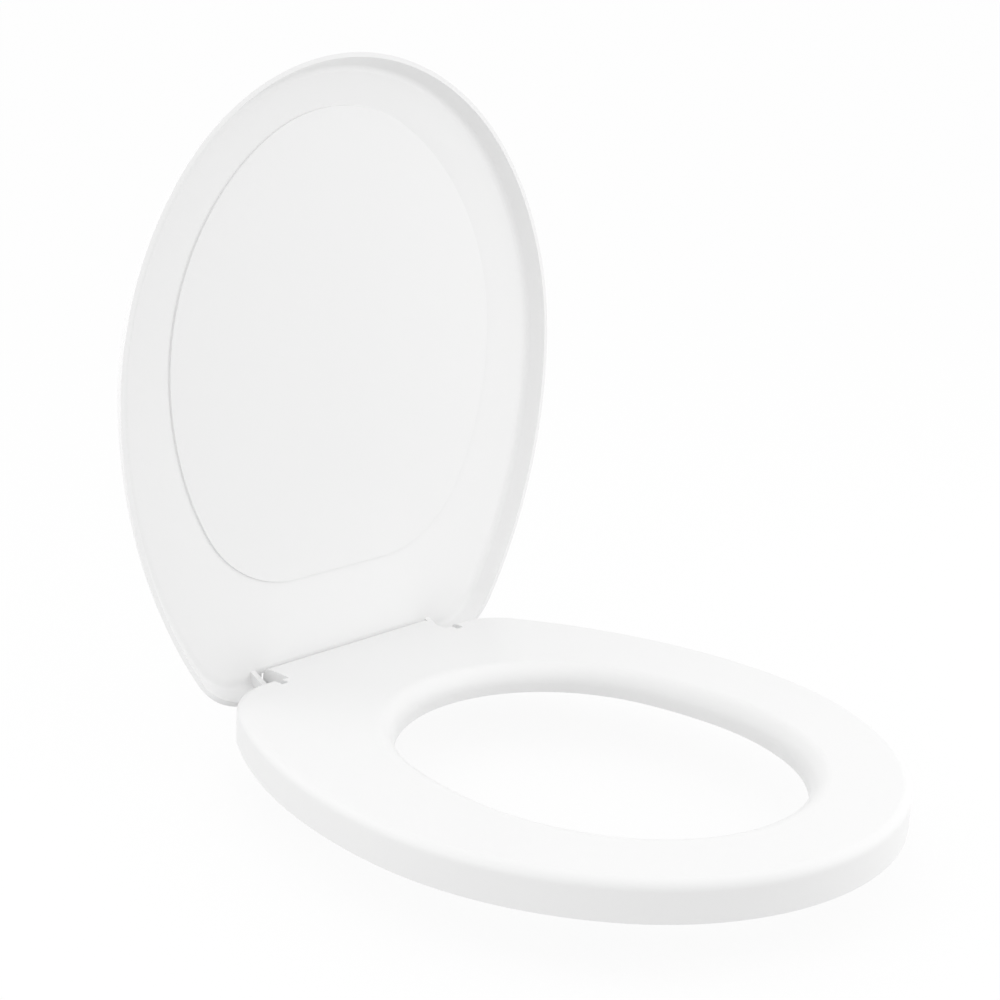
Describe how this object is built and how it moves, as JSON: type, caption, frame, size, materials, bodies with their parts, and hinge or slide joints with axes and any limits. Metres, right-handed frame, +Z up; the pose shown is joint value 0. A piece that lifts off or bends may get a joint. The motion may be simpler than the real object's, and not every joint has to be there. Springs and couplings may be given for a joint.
{
  "type": "toilet seat with lid",
  "caption": "Oval ring toilet seat with a dished, panelled lid, both hinged at the back on bolt-down posts, with soft buffers under the ring.",
  "frame": {"origin": "on the pan's deck, midway between the two fixing bolts", "axes": "+Z up out of the pan, the seat's rounded front towards -Y, hinge axis along X at the back; rest pose is seat down and lid open as pictured"},
  "size_m": [0.3848, 0.4427, 0.4424],
  "materials": {
    "seat_plastic": "gloss moulded white",
    "buffer_rubber": "soft matt white",
    "fixing_plastic": "satin white"
  },
  "bodies": {
    "hinge_base": {"hinge_post_left": "seat_plastic", "foot_pad_left": "buffer_rubber", "fixing_bolt_left": "fixing_plastic", "cone_washer_left": "buffer_rubber", "flat_washer_left": "fixing_plastic", "wing_nut_left": "fixing_plastic", "hinge_post_right": "seat_plastic", "foot_pad_right": "buffer_rubber", "fixing_bolt_right": "fixing_plastic", "cone_washer_right": "buffer_rubber", "flat_washer_right": "fixing_plastic", "wing_nut_right": "fixing_plastic"},
    "seat": {"seat": "seat_plastic", "seat_buffer_front_left": "buffer_rubber", "seat_buffer_front_right": "buffer_rubber", "seat_buffer_rear_left": "buffer_rubber", "seat_buffer_rear_right": "buffer_rubber", "hinge_pin_left": "fixing_plastic", "hinge_pin_right": "fixing_plastic"},
    "lid": {"lid": "seat_plastic"}
  },
  "joints": [
    {"name": "seat_hinge", "type": "hinge", "parent": "hinge_base", "child": "seat", "pos_m": [0, 0.024, 0.018], "axis": [-1, 0, 0], "range_deg": [0, 90.5]},
    {"name": "lid_hinge", "type": "hinge", "parent": "seat", "child": "lid", "pos_m": [0, 0.024, 0.018], "axis": [-1, 0, 0], "range_deg": [-92.5, 0]}
  ]
}
